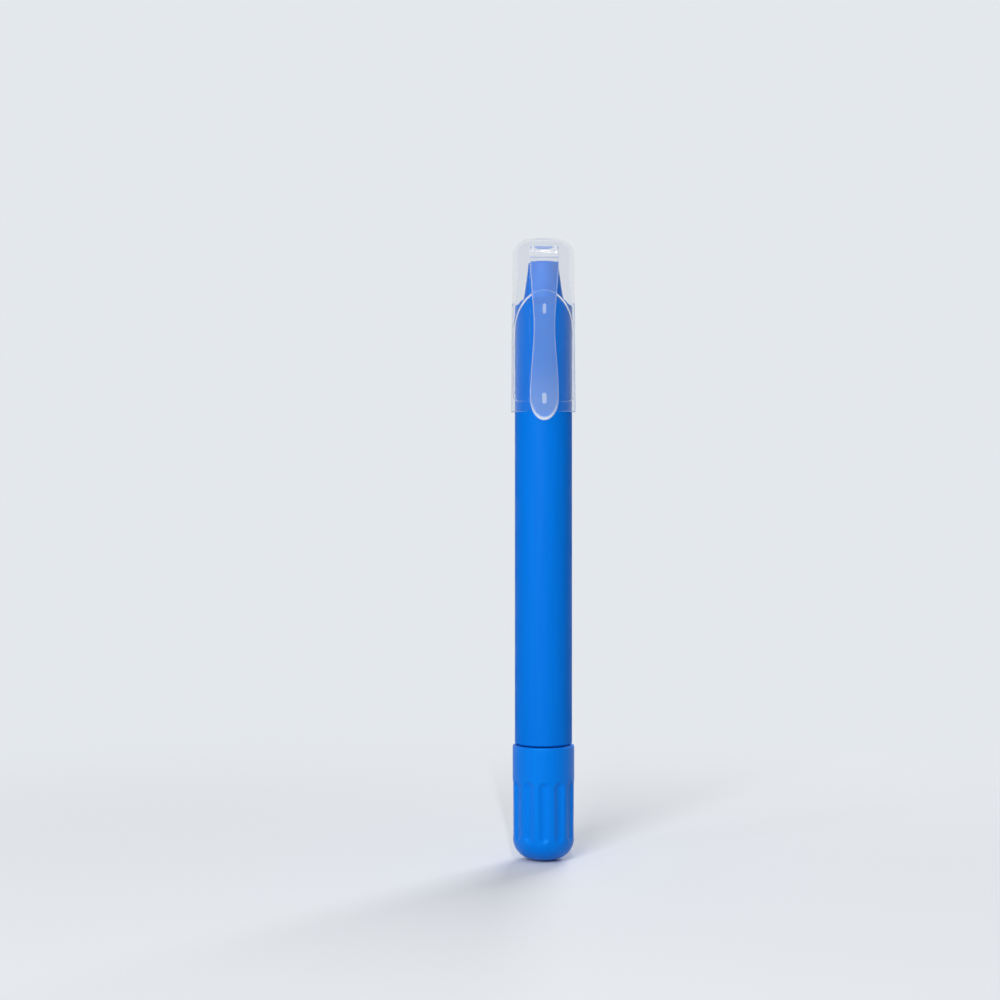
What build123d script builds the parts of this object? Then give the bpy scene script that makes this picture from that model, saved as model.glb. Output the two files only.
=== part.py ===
"""Twist-up wax crayon: capped barrel, wax stick, screw drive and a fluted twist knob.

Units are millimetres. The axis is Z, with the tail end at zero and the writing tip upwards.
The pocket clip faces -Y. The stick stands at its lower stop, with the cap on.
"""

import os
from math import asin, degrees, hypot, sqrt

from build123d import *

# Twist knob: the fluted tail
knob_length = 26.0
knob_step = 0.5
knob_wall = 1.35
knob_draft = 0.08
collar_length = 7.2
end_crown_radius = 12.0
end_corner_radius = 4.5
knob_edge = 0.4
flute_count = 12
flute_radius = 1.9
flute_depth = 0.42
flute_length = 13.2
flute_start = 4.9
boss_wall = 1.7
web_count = 4
web_thickness = 1.0
web_length = 12.0

# Barrel: the coloured tube with its nose
barrel_length = 100.0
barrel_wall = 1.2
barrel_tail_edge = 0.3
nose_land = 4.0
nose_lip = 0.24
nose_lip_round = 0.1
nose_edge_round = 0.25
keyway_width = 1.6
keyway_depth = 0.6
key_count = 2

# Wax stick
stick_diameter = 9.0
tip_diameter = 6.6
tip_height = 8.4
tip_round = 0.7

# Stick carrier: cup, stem and nut foot
cup_wall = 0.53
cup_depth = 9.0
cup_floor = 1.2
cup_slit_count = 4
cup_slit_width = 0.8
cup_slit_depth = 6.0
stem_wall = 0.9
nut_height = 6.0
key_height = 5.0
carrier_edge = 0.25

# Drive screw
screw_diameter = 5.0
journal_diameter = 6.4
flange_step = 1.0
flange_height = 1.5
screw_tip_chamfer = 0.5
hex_width = 3.8
hex_root_length = 16.0

# Tail bush and drag ring
bush_length = 8.0
bush_step = 0.35
bush_bead = 0.25
bush_edge = 0.3
ring_section = 0.96
ring_groove_width = 1.3

# Cap and its moulded clip
cap_wall = 0.75
cap_taper = 0.25
cap_crown_radius = 24.0
cap_corner_radius = 3.4
cap_roof = 0.8
cap_overlap = 25.4
cap_head_wall = 1.2
cap_seat_length = 8.0
cap_headroom = 4.6
mouth_round = 0.2
mouth_band = 2.3
relief_depth = 0.25
relief_edge = 0.4
relief_corner = 1.6
relief_round = 0.12
arch_rise = 9.4
arch_drop = 12.4
clip_reach = 2.35
clip_thickness = 1.25
clip_root_width = 6.4
clip_waist_width = 4.64
clip_tongue_width = 6.32
clip_root_rise = 1.2
clip_gap_drop = 5.2
clip_tongue_length = 4.9
clip_overhang = 2.1
clip_shoulder_round = 2.2
clip_edge = 0.5
nub_width = 1.0
nub_height = 2.4
nub_gap = 0.2
rib_width = 0.8
rib_height = 2.2
rib_drop = 15.5
rib_depth = 0.5

# Clearances
running_gap = 0.2
bearing_clearance = 0.05
thrust_gap = 0.1
press_clearance = 0.02
slide_clearance = 0.2
key_clearance = 0.15
stick_clearance = 0.12
stem_clearance = 0.25
foot_gap = 0.8
socket_gap = 0.3
screw_top_gap = 0.6
stop_gap = 0.4
cap_clearance = 0.1
cap_seat_gap = 0.15

# Radii, from the stick outwards
stick_radius = stick_diameter / 2
cup_bore_radius = stick_radius + press_clearance
cup_radius = cup_bore_radius + cup_wall
bore_radius = cup_radius + slide_clearance
barrel_radius = bore_radius + barrel_wall
knob_radius = barrel_radius + knob_step
screw_radius = screw_diameter / 2
journal_radius = journal_diameter / 2
nose_bore_radius = stick_radius + stick_clearance
flange_radius = journal_radius + flange_step
bush_bore_radius = journal_radius + bearing_clearance
bush_radius = bore_radius + bush_step
bush_seat_radius = bush_radius + press_clearance
cap_bore_radius = barrel_radius + cap_clearance
cap_mouth_radius = cap_bore_radius + cap_wall
cap_head_radius = cap_mouth_radius - cap_taper
cap_head_bore = cap_head_radius - cap_head_wall

# Heights along the axis, from the tail upwards
barrel_foot = knob_length + running_gap
nose_top = barrel_foot + barrel_length
nose_shoulder = nose_top - nose_land
nose_rim_radius = nose_bore_radius + nose_lip
nose_chamfer = barrel_radius - nose_rim_radius
chamfer_foot = nose_top - nose_chamfer
bush_top = barrel_foot + bush_length
flange_base = bush_top + thrust_gap
flange_top = flange_base + flange_height
carrier_foot = flange_top + foot_gap
tip_top = nose_top + tip_height
cap_inside_top = tip_top + cap_headroom
cap_top = cap_inside_top + cap_roof
cap_mouth = nose_top - cap_overlap

# The carrier's stem hides the whole screw when the stick is down, so the stroke is half the room
fixed_stack = nut_height + screw_top_gap + cup_floor + cup_depth
stroke = (nose_shoulder - stop_gap - carrier_foot - fixed_stack) / 2
screw_top = carrier_foot + nut_height + stroke
cup_base = screw_top + screw_top_gap
stick_foot = cup_base + cup_floor
cup_top = stick_foot + cup_depth


def crown_angle(rim_radius, crown_radius, corner_radius):
    """Angle of a crown arc about the axis, where a corner arc of the given rim takes over."""
    return degrees(asin((rim_radius - corner_radius) / (crown_radius - corner_radius)))


def crown_height(rim_radius, crown_radius, corner_radius):
    """Height of a crowned end, from its middle to where its side becomes straight."""
    return crown_radius - sqrt((crown_radius - corner_radius) ** 2 - (rim_radius - corner_radius) ** 2)


# Twist knob
knob_foot_radius = knob_radius - knob_draft
knob_crown_angle = crown_angle(knob_foot_radius, end_crown_radius, end_corner_radius)
knob_dome = crown_height(knob_foot_radius, end_crown_radius, end_corner_radius)
collar_foot = knob_length - collar_length
hex_socket_width = hex_width + 2 * press_clearance
boss_radius = hex_socket_width / sqrt(3) + boss_wall
boss_top = knob_length - thrust_gap
knob_bore_radius = knob_foot_radius - knob_wall
root_foot = boss_top - hex_root_length

with BuildPart() as twist_knob:
    with BuildSketch(Plane.XZ):
        with BuildLine():
            crown = JernArc((0, 0), (1, 0), end_crown_radius, knob_crown_angle)
            corner = JernArc(crown @ 1, crown % 1, end_corner_radius, 90 - knob_crown_angle)
            Polyline(
                corner @ 1,
                (knob_radius, collar_foot),
                (knob_radius, knob_length - knob_edge),
                (knob_radius - knob_edge, knob_length),
                (0, knob_length),
                (0, 0),
            )
        make_face()
    revolve(axis=Axis.Z)
    with BuildSketch(Plane.XZ):
        with BuildLine():
            crown = JernArc((0, knob_wall), (1, 0), end_crown_radius - knob_wall, knob_crown_angle)
            corner = JernArc(crown @ 1, crown % 1, end_corner_radius - knob_wall, 90 - knob_crown_angle)
            Polyline(corner @ 1, (knob_bore_radius, knob_length), (0, knob_length), (0, knob_wall))
        make_face()
    revolve(axis=Axis.Z, mode=Mode.SUBTRACT)
    with BuildSketch(Plane.XY.offset(knob_wall)):
        Circle(boss_radius)
    extrude(amount=boss_top - knob_wall)
    with BuildSketch(Plane.XY.offset(knob_dome)):
        with PolarLocations(0, web_count):
            Rectangle(knob_bore_radius + knob_wall / 2, web_thickness, align=(Align.MIN, Align.CENTER))
    extrude(amount=web_length)
    with BuildSketch(Plane.XY.offset(root_foot - socket_gap)):
        RegularPolygon(hex_socket_width / 2, 6, major_radius=False)
    extrude(amount=knob_length, mode=Mode.SUBTRACT)
    # Each flute is a round-ended groove, cut by a rod whose ends are balls
    flute_axis_radius = knob_radius - flute_depth + flute_radius
    flute_reach = sqrt(flute_radius**2 - (flute_radius - flute_depth) ** 2)
    flute_rod = flute_length - 2 * flute_reach
    with PolarLocations(flute_axis_radius, flute_count):
        with Locations((0, 0, flute_start + flute_reach)):
            Cylinder(
                flute_radius,
                flute_rod,
                align=(Align.CENTER, Align.CENTER, Align.MIN),
                mode=Mode.SUBTRACT,
            )
            with Locations((0, 0, 0), (0, 0, flute_rod)):
                Sphere(flute_radius, mode=Mode.SUBTRACT)
twist_knob.part.label = "twist_knob"

# Drive screw
ring_middle = barrel_foot + bush_length / 2
groove_radius = bush_bore_radius - ring_section - 2 * press_clearance

with BuildPart() as drive_screw:
    with BuildSketch(Plane.XY.offset(root_foot)):
        RegularPolygon(hex_width / 2, 6, major_radius=False)
    extrude(amount=boss_top + press_clearance - root_foot)
    with BuildSketch(Plane.XZ):
        with BuildLine():
            Polyline(
                (0, boss_top + press_clearance),
                (journal_radius, boss_top + press_clearance),
                (journal_radius, ring_middle - ring_groove_width / 2),
                (groove_radius, ring_middle - ring_groove_width / 2),
                (groove_radius, ring_middle + ring_groove_width / 2),
                (journal_radius, ring_middle + ring_groove_width / 2),
                (journal_radius, flange_base),
                (flange_radius, flange_base),
                (flange_radius, flange_top),
                (screw_radius, flange_top),
                (screw_radius, screw_top - screw_tip_chamfer),
                (screw_radius - screw_tip_chamfer, screw_top),
                (0, screw_top),
                close=True,
            )
        make_face()
    revolve(axis=Axis.Z)
drive_screw.part.label = "drive_screw"

# Tail bush, snapped into the barrel by the bead round its middle
bead_height = 4 * bush_bead

with BuildPart() as tail_bush:
    with BuildSketch(Plane.XZ):
        with BuildLine():
            Polyline(
                (bush_bore_radius, barrel_foot),
                (bush_radius, barrel_foot),
                (bush_radius, ring_middle - bead_height / 2),
                (bush_radius + bush_bead, ring_middle),
                (bush_radius, ring_middle + bead_height / 2),
                (bush_radius, bush_top - bush_edge),
                (bush_radius - bush_edge, bush_top),
                (bush_bore_radius, bush_top),
                close=True,
            )
        make_face()
    revolve(axis=Axis.Z)
tail_bush.part.label = "tail_bush"

# Drag ring
with BuildPart() as drag_ring:
    with BuildSketch(Plane.XZ):
        with Locations((groove_radius + press_clearance + ring_section / 2, ring_middle)):
            Circle(ring_section / 2)
    revolve(axis=Axis.Z)
drag_ring.part.label = "drag_ring"

# Barrel
shoulder_drop = bore_radius - nose_bore_radius

with BuildPart() as barrel:
    with BuildSketch(Plane.XZ):
        with BuildLine():
            Polyline(
                (bush_seat_radius, barrel_foot),
                (barrel_radius - barrel_tail_edge, barrel_foot),
                (barrel_radius, barrel_foot + barrel_tail_edge),
                (barrel_radius, chamfer_foot),
                (nose_rim_radius, nose_top),
                (nose_bore_radius, nose_top),
                (nose_bore_radius, nose_shoulder),
                (bore_radius, nose_shoulder - shoulder_drop),
                (bore_radius, bush_top),
                (bush_seat_radius, bush_top),
                (bush_seat_radius, ring_middle + bead_height / 2),
                (bush_seat_radius + bush_bead, ring_middle),
                (bush_seat_radius, ring_middle - bead_height / 2),
                close=True,
            )
        make_face()
    revolve(axis=Axis.Z)
    fillet(barrel.edges().filter_by(GeomType.CIRCLE).group_by(Axis.Z)[-1], nose_lip_round)
    foot_edges = barrel.edges().filter_by(GeomType.CIRCLE).filter_by_position(Axis.Z, chamfer_foot, chamfer_foot)
    fillet(foot_edges, nose_edge_round)
    # Grooves that keep the carrier from turning, open at the tail
    keyway_reach = bore_radius + keyway_depth
    with BuildSketch(Plane.XY.offset(barrel_foot)):
        with PolarLocations(0, key_count):
            Rectangle(keyway_reach, keyway_width, align=(Align.MIN, Align.CENTER))
    extrude(amount=nose_shoulder - shoulder_drop - barrel_foot, mode=Mode.SUBTRACT)
barrel.part.label = "barrel"

# Stick carrier
stem_bore_radius = screw_radius + stem_clearance
stem_radius = stem_bore_radius + stem_wall
key_reach = keyway_reach - key_clearance
key_width = keyway_width - 2 * key_clearance

with BuildPart() as stick_carrier:
    with BuildSketch(Plane.XZ):
        with BuildLine():
            Polyline(
                (screw_radius + bearing_clearance, carrier_foot),
                (cup_radius, carrier_foot),
                (cup_radius, carrier_foot + nut_height),
                (stem_radius, carrier_foot + nut_height),
                (stem_radius, cup_base),
                (cup_radius, cup_base),
                (cup_radius, cup_top - carrier_edge),
                (cup_radius - carrier_edge, cup_top),
                (cup_bore_radius, cup_top),
                (cup_bore_radius, stick_foot),
                (0, stick_foot),
                (0, cup_base),
                (stem_bore_radius, cup_base),
                (stem_bore_radius, carrier_foot + nut_height),
                (screw_radius + bearing_clearance, carrier_foot + nut_height),
                close=True,
            )
        make_face()
    revolve(axis=Axis.Z)
    # Keys on the nut foot and at the base of the cup
    for key_foot in (carrier_foot + (nut_height - key_height) / 2, cup_base):
        with BuildSketch(Plane.XY.offset(key_foot)):
            with PolarLocations(0, key_count):
                with Locations((stem_radius, 0)):
                    Rectangle(key_reach - stem_radius, key_width, align=(Align.MIN, Align.CENTER))
        extrude(amount=min(key_height, cup_floor + cup_depth - cup_slit_depth))
    with BuildSketch(Plane.XY.offset(stick_foot)):
        Circle(cup_bore_radius)
    extrude(amount=cup_depth, mode=Mode.SUBTRACT)
    # Slits that let the cup's wall grip the wax
    with BuildSketch(Plane.XY.offset(cup_top - cup_slit_depth)):
        with PolarLocations(0, cup_slit_count, start_angle=180 / cup_slit_count):
            Rectangle(2 * cup_radius, cup_slit_width, align=(Align.MIN, Align.CENTER))
    extrude(amount=cup_slit_depth, mode=Mode.SUBTRACT)
stick_carrier.part.label = "stick_carrier"

# Wax stick
with BuildPart() as crayon_stick:
    with BuildSketch(Plane.XZ):
        with BuildLine():
            Polyline(
                (0, stick_foot + press_clearance),
                (stick_radius, stick_foot + press_clearance),
                (stick_radius, nose_top),
                (tip_diameter / 2, tip_top),
                (0, tip_top),
                close=True,
            )
        make_face()
    revolve(axis=Axis.Z)
    fillet(crayon_stick.edges().filter_by(GeomType.CIRCLE).group_by(Axis.Z)[-1], tip_round)
crayon_stick.part.label = "crayon_stick"

# Cap: the shell's outside and inside as revolved profiles
cap_crown_angle = crown_angle(cap_head_radius, cap_crown_radius, cap_corner_radius)
cap_dome = crown_height(cap_head_radius, cap_crown_radius, cap_corner_radius)
seat_foot = chamfer_foot + cap_seat_gap
seat_top = seat_foot + cap_seat_length
inside_corner_radius = cap_corner_radius - cap_head_wall
inside_crown_radius = cap_crown_radius - cap_roof
inside_crown_angle = crown_angle(cap_head_bore, inside_crown_radius, inside_corner_radius)
side_foot = cap_top - cap_dome


def cap_surface(height):
    """Radius of the cap's slightly tapered side at a height."""
    share = (height - cap_mouth) / (side_foot - cap_mouth)
    return cap_mouth_radius + share * (cap_head_radius - cap_mouth_radius)


# Clip blank: its side view and its front view, each pulled through the other
clip_outside = cap_head_radius + clip_reach
clip_inside = clip_outside - clip_thickness
root_top = side_foot + clip_root_rise
shoulder_height = root_top - clip_shoulder_round
gap_top = cap_top - clip_gap_drop
clip_tip = cap_mouth - clip_overhang
tongue_height = clip_tip + clip_tongue_length
waist_height = (shoulder_height + tongue_height) / 2
root_depth = cap_head_radius - cap_head_wall / 2

with BuildPart() as clip:
    with BuildSketch(Plane.YZ):
        with BuildLine():
            Polyline(
                (-root_depth, gap_top),
                (-root_depth, root_top),
                (-clip_outside, root_top),
                (-clip_outside, clip_tip),
                (-clip_inside, clip_tip),
                (-clip_inside, gap_top),
                close=True,
            )
        side_view = make_face()
        fillet(side_view.vertices().group_by(Axis.X)[0].sort_by(Axis.Y)[-1], clip_shoulder_round)
    extrude(amount=clip_root_width, both=True)
    with BuildSketch(Plane.XZ):
        with BuildLine():
            edge = Spline(
                (clip_root_width / 2, shoulder_height),
                (clip_waist_width / 2, waist_height),
                (clip_tongue_width / 2, tongue_height),
                tangents=((0, -1), (0, -1)),
            )
            EllipticalCenterArc(
                (0, tongue_height),
                clip_tongue_width / 2,
                tongue_height - clip_tip,
                start_angle=270,
                arc_size=90,
            )
            Polyline((0, clip_tip), (0, cap_top), (clip_root_width / 2, cap_top), edge @ 0)
        make_face()
        mirror(about=Plane.YZ)
    extrude(amount=2 * clip_outside, both=True, mode=Mode.INTERSECT)
    front_face = clip.faces().sort_by(Axis.Y)[0]
    fillet(front_face.edges(), clip_edge)

# Relief in the cap's front: a thin ring, kept only behind an arched panel with round lower corners
relief_foot = cap_mouth + mouth_band
arch_top = cap_top - arch_drop
arch_side = arch_top - arch_rise
relief_half_width = cap_head_radius - relief_edge

with BuildPart() as front_relief:
    with BuildSketch(Plane.XZ):
        with BuildLine():
            Polyline(
                (cap_surface(relief_foot) - relief_depth, relief_foot),
                (cap_surface(relief_foot) + relief_depth, relief_foot),
                (cap_surface(arch_top) + relief_depth, arch_top),
                (cap_surface(arch_top) - relief_depth, arch_top),
                close=True,
            )
        make_face()
    revolve(axis=Axis.Z)
    with BuildSketch(Plane.XZ):
        with BuildLine():
            EllipticalCenterArc((0, arch_side), relief_half_width, arch_rise, start_angle=0, arc_size=180)
            Polyline(
                (-relief_half_width, arch_side),
                (-relief_half_width, relief_foot),
                (relief_half_width, relief_foot),
                (relief_half_width, arch_side),
            )
        panel = make_face()
        fillet(panel.vertices().group_by(Axis.Y)[0], relief_corner)
    extrude(amount=2 * cap_mouth_radius, mode=Mode.INTERSECT)


def on_relief_rim(edge):
    """Whether an edge of the cap lies where the relief's wall meets the outside."""
    middle = edge @ 0.5
    return middle.Y < -relief_depth and cap_surface(middle.Z) - hypot(middle.X, middle.Y) < relief_depth / 2


with BuildPart() as cap:
    with BuildSketch(Plane.XZ):
        with BuildLine():
            crown = JernArc((0, cap_top), (1, 0), cap_crown_radius, -cap_crown_angle)
            corner = JernArc(crown @ 1, crown % 1, cap_corner_radius, cap_crown_angle - 90)
            Polyline(corner @ 1, (cap_mouth_radius, cap_mouth), (0, cap_mouth), (0, cap_top))
        make_face()
    revolve(axis=Axis.Z)
    add(front_relief.part, mode=Mode.SUBTRACT)
    rim_edges = cap.edges().filter_by(on_relief_rim)
    fillet(rim_edges, relief_round)
    add(clip.part)
    # Nub on the clip's back that grips a pocket's edge, and a short rib that stiffens its waist
    nub_reach = clip_inside - cap_mouth_radius - nub_gap
    with BuildSketch(Plane.XZ.offset(clip_inside)):
        with Locations((0, tongue_height)):
            SlotOverall(nub_height, nub_width, rotation=90)
    extrude(amount=-nub_reach)
    with BuildSketch(Plane.XZ.offset(clip_inside)):
        with Locations((0, cap_top - rib_drop - rib_height / 2)):
            SlotOverall(rib_height, rib_width, rotation=90)
    extrude(amount=-rib_depth)
    with BuildSketch(Plane.XZ):
        with BuildLine():
            crown = JernArc((0, cap_inside_top), (1, 0), inside_crown_radius, -inside_crown_angle)
            corner = JernArc(crown @ 1, crown % 1, inside_corner_radius, inside_crown_angle - 90)
            Polyline(
                corner @ 1,
                (cap_head_bore, seat_top),
                (cap_bore_radius, seat_foot),
                (cap_bore_radius, cap_mouth),
                (0, cap_mouth),
                (0, cap_inside_top),
            )
        make_face()
    revolve(axis=Axis.Z, mode=Mode.SUBTRACT)
    mouth_edges = cap.edges().filter_by(GeomType.CIRCLE).filter_by_position(Axis.Z, cap_mouth, cap_mouth)
    fillet(mouth_edges, mouth_round)
cap.part.label = "cap"

os.makedirs("parts", exist_ok=True)
for piece in (barrel, tail_bush, twist_knob, drive_screw, drag_ring, stick_carrier, crayon_stick, cap):
    export_step(piece.part, f"parts/{piece.part.label}.step")

print(f"overall length {cap_top:.2f}, stroke {stroke:.2f}, stick length {tip_top - stick_foot:.2f}")
print(f"nose top {nose_top:.2f}, cap mouth {cap_mouth:.2f}, clip tip {clip_tip:.2f}")
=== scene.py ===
"""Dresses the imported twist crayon: clear cap, satin barrel, wax stick, fluted knob and screw drive.

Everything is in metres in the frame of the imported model. The axis is Z with the tail end at zero,
the writing tip is up and the pocket clip faces -Y. Sizes in the classes are in millimetres, apart
from those of the stage, which are in metres.
"""

import logging
import math
from dataclasses import dataclass, field, replace
from enum import Enum
from typing import Any

import bpy
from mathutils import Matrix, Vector


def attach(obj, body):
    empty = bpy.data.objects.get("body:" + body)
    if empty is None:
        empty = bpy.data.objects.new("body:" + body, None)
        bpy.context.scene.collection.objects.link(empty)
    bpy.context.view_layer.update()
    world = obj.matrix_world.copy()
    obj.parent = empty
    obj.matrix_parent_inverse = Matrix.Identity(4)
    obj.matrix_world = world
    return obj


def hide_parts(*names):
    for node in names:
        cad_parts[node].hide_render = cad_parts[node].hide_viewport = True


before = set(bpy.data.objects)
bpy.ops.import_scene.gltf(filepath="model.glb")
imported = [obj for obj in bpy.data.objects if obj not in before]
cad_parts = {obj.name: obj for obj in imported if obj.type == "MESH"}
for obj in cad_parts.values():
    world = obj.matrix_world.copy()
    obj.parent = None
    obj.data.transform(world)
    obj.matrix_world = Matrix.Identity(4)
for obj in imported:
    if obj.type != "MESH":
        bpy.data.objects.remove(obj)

MM = 0.001
FULL_TURN = 360.0
QUARTER_TURN = 90.0
WELD_MM = 0.002
# The sRGB curve: straight up to its foot, and a power above that
SRGB_FULL = 255
SRGB_FOOT = 0.04045
SRGB_SLOPE = 12.92
SRGB_OFFSET = 0.055
SRGB_POWER = 2.4
# A Mix node's colour sockets go by number, because those of every data type share their names
FIRST_COLOUR = 6
SECOND_COLOUR = 7
MIXED_COLOUR = 2
log = logging.getLogger("twist_crayon")

Point = tuple[float, float]


class Body(Enum):
    """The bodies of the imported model, for the pieces that ride on them."""

    BARREL = "barrel"
    KNOB = "knob"
    STICK = "stick"
    CAP = "cap"


class Hand(Enum):
    """Which way a thread climbs."""

    LEFT = "left"
    RIGHT = "right"


def linear(code: str) -> tuple[float, float, float, float]:
    """Turns an sRGB hex colour into linear light.

    Args:
        code: six hex digits, with or without a leading hash.

    Returns:
        Red, green, blue and an alpha of one.
    """
    parts = []
    for level in bytes.fromhex(code.lstrip("#")):
        share = level / SRGB_FULL
        curved = ((share + SRGB_OFFSET) / (1 + SRGB_OFFSET)) ** SRGB_POWER
        parts.append(share / SRGB_SLOPE if share <= SRGB_FOOT else curved)
    return parts[0], parts[1], parts[2], 1.0


def add_node(
    tree: bpy.types.NodeTree,
    kind: str,
    sockets: dict[Any, Any] | None = None,
    **settings: Any,
) -> bpy.types.Node:
    """Adds a node with its settings, input values and links.

    Args:
        tree: the node tree that gets the node.
        kind: Blender's type name of the node.
        sockets: input name or number against a value, an output socket to link from, or a node
            whose first output is linked.
        settings: attributes of the node itself.

    Returns:
        The new node.
    """
    node = tree.nodes.new(kind)
    for name, value in settings.items():
        setattr(node, name, value)
    for key, value in (sockets or {}).items():
        source = value.outputs[0] if isinstance(value, bpy.types.Node) else value
        if isinstance(source, bpy.types.NodeSocket):
            tree.links.new(source, node.inputs[key])
        else:
            node.inputs[key].default_value = source
    return node


def new_material(name: str) -> bpy.types.Material:
    """Makes an empty node material.

    Args:
        name: the material's name.

    Returns:
        The material, with no nodes in its tree.
    """
    material = bpy.data.materials.new(name)
    material.use_nodes = True
    material.node_tree.nodes.clear()
    return material


def new_shape_tree(name: str, sizes: dict[str, float]) -> tuple[bpy.types.NodeTree, bpy.types.Node]:
    """Starts a geometry tree with a geometry, named sizes and a finish as its inputs.

    Args:
        name: the tree's name.
        sizes: its number inputs, by name.

    Returns:
        The tree and its input node.
    """
    tree = bpy.data.node_groups.new(name, "GeometryNodeTree")
    tree.interface.new_socket("Geometry", in_out="INPUT", socket_type="NodeSocketGeometry")
    for size in sizes:
        tree.interface.new_socket(size, in_out="INPUT", socket_type="NodeSocketFloat")
    tree.interface.new_socket("Finish", in_out="INPUT", socket_type="NodeSocketMaterial")
    tree.interface.new_socket("Geometry", in_out="OUTPUT", socket_type="NodeSocketGeometry")
    return tree, add_node(tree, "NodeGroupInput")


def close_shape_tree(
    tree: bpy.types.NodeTree, entry: bpy.types.Node, shape: bpy.types.NodeSocket
) -> None:
    """Ends a geometry tree: instances made real, seams merged, smooth and dressed.

    Args:
        tree: the geometry tree.
        entry: its input node.
        shape: the geometry to end with.
    """
    real = add_node(tree, "GeometryNodeRealizeInstances", {"Geometry": shape})
    whole = add_node(tree, "GeometryNodeMergeByDistance", {"Geometry": real, "Distance": WELD_MM * MM})
    smooth = add_node(tree, "GeometryNodeSetShadeSmooth", {"Geometry": whole})
    finish = entry.outputs["Finish"]
    dressed = add_node(tree, "GeometryNodeSetMaterial", {"Geometry": smooth, "Material": finish})
    add_node(tree, "NodeGroupOutput", {"Geometry": dressed})


def grow(
    name: str,
    seed: bpy.types.Mesh,
    tree: bpy.types.NodeTree,
    sizes: dict[str, float],
    finish: bpy.types.Material,
) -> bpy.types.Object:
    """Runs a geometry tree on a mesh and keeps the result as a plain mesh object.

    Args:
        name: the piece's name.
        seed: the mesh that the tree starts from.
        tree: the geometry tree.
        sizes: the tree's number inputs, by name.
        finish: the material that the tree sets.

    Returns:
        The finished piece, with no modifier.
    """
    holder = bpy.data.objects.new(f"{name}_seed", seed)
    bpy.context.scene.collection.objects.link(holder)
    modifier = holder.modifiers.new("shape", "NODES")
    modifier.node_group = tree
    values: dict[str, Any] = {**sizes, "Finish": finish}
    for item in tree.interface.items_tree:
        if item.in_out == "INPUT" and item.name in values:
            modifier[item.identifier] = values[item.name]
    bpy.context.view_layer.update()
    shaped = holder.evaluated_get(bpy.context.evaluated_depsgraph_get())
    mesh = bpy.data.meshes.new_from_object(shaped)
    mesh.name = name
    bpy.data.objects.remove(holder)
    piece = bpy.data.objects.new(name, mesh)
    bpy.context.scene.collection.objects.link(piece)
    return piece


def set_round(
    tree: bpy.types.NodeTree, shape: bpy.types.NodeSocket, count: bpy.types.NodeSocket
) -> bpy.types.NodeSocket:
    """Sets copies of a shape evenly round the Z axis.

    Args:
        tree: the geometry tree.
        shape: the geometry to repeat.
        count: how many copies there are.

    Returns:
        The copies, as instances.
    """
    points = add_node(tree, "GeometryNodePoints", {"Count": count})
    index = add_node(tree, "GeometryNodeInputIndex").outputs[0]
    step = add_node(tree, "ShaderNodeMath", {0: math.tau, 1: count}, operation="DIVIDE")
    angle = add_node(tree, "ShaderNodeMath", {0: index, 1: step}, operation="MULTIPLY")
    euler = add_node(tree, "ShaderNodeCombineXYZ", {"Z": angle})
    turn = add_node(tree, "FunctionNodeEulerToRotation", {0: euler})
    copies = add_node(
        tree, "GeometryNodeInstanceOnPoints", {"Points": points, "Instance": shape, "Rotation": turn}
    )
    return copies.outputs[0]


def reach(
    tree: bpy.types.NodeTree, across: bpy.types.NodeSocket, along: bpy.types.NodeSocket
) -> bpy.types.NodeSocket:
    """Measures an offset that has two parts at right angles.

    Args:
        tree: the node tree.
        across: the offset one way.
        along: the offset the other way.

    Returns:
        The offset's length.
    """
    offset = add_node(tree, "ShaderNodeCombineXYZ", {"X": across, "Y": along})
    return add_node(tree, "ShaderNodeVectorMath", {0: offset}, operation="LENGTH").outputs["Value"]


def turned(
    profile: list[Point], start: float, sweep: float, steps: int
) -> tuple[list[Vector], list[list[int]]]:
    """Turns a profile about the Z axis, through a full circle or a part of one.

    Args:
        profile: radius and height in millimetres, in order, with the outside to the right going up.
        start: the first angle in degrees.
        sweep: how far it turns in degrees.
        steps: how many faces the sweep has.

    Returns:
        Points in metres, and faces as lists of point numbers.
    """
    points: list[Vector] = []
    rings: list[list[int]] = []
    closed = math.isclose(sweep, FULL_TURN)
    columns = steps if closed else steps + 1
    for radius, height in profile:
        if radius == 0:
            points.append(Vector((0, 0, height * MM)))
            rings.append([len(points) - 1] * (steps + 1))
            continue
        ring = []
        for column in range(columns):
            angle = math.radians(start + sweep * column / steps)
            points.append(Vector((radius * math.cos(angle), radius * math.sin(angle), height)) * MM)
            ring.append(len(points) - 1)
        rings.append(ring + ring[:1] if closed else ring)
    faces: list[list[int]] = []
    for low, high in zip(rings, rings[1:]):
        for column in range(steps):
            corners = [low[column], low[column + 1], high[column + 1], high[column]]
            faces.append(list(dict.fromkeys(corners)))
    return points, faces


def arc(centre: Point, radius: float, start: float, end: float, steps: int) -> list[Point]:
    """Samples an arc of a profile.

    Args:
        centre: radius and height of its centre.
        radius: its radius.
        start: the first angle in degrees, from the outward direction.
        end: the last angle in degrees.
        steps: how many pieces it is cut into.

    Returns:
        The points in order.
    """
    angles = [math.radians(start + (end - start) * i / steps) for i in range(steps + 1)]
    return [(centre[0] + radius * math.cos(a), centre[1] + radius * math.sin(a)) for a in angles]


def stretch(first: Point, last: Point, steps: int) -> list[Point]:
    """Cuts a straight piece of a profile evenly, without its first point.

    Args:
        first: where it starts.
        last: where it ends.
        steps: how many pieces it is cut into.

    Returns:
        The points in order.
    """
    shares = [i / steps for i in range(1, steps + 1)]
    return [(first[0] + (last[0] - first[0]) * s, first[1] + (last[1] - first[1]) * s) for s in shares]


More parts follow.
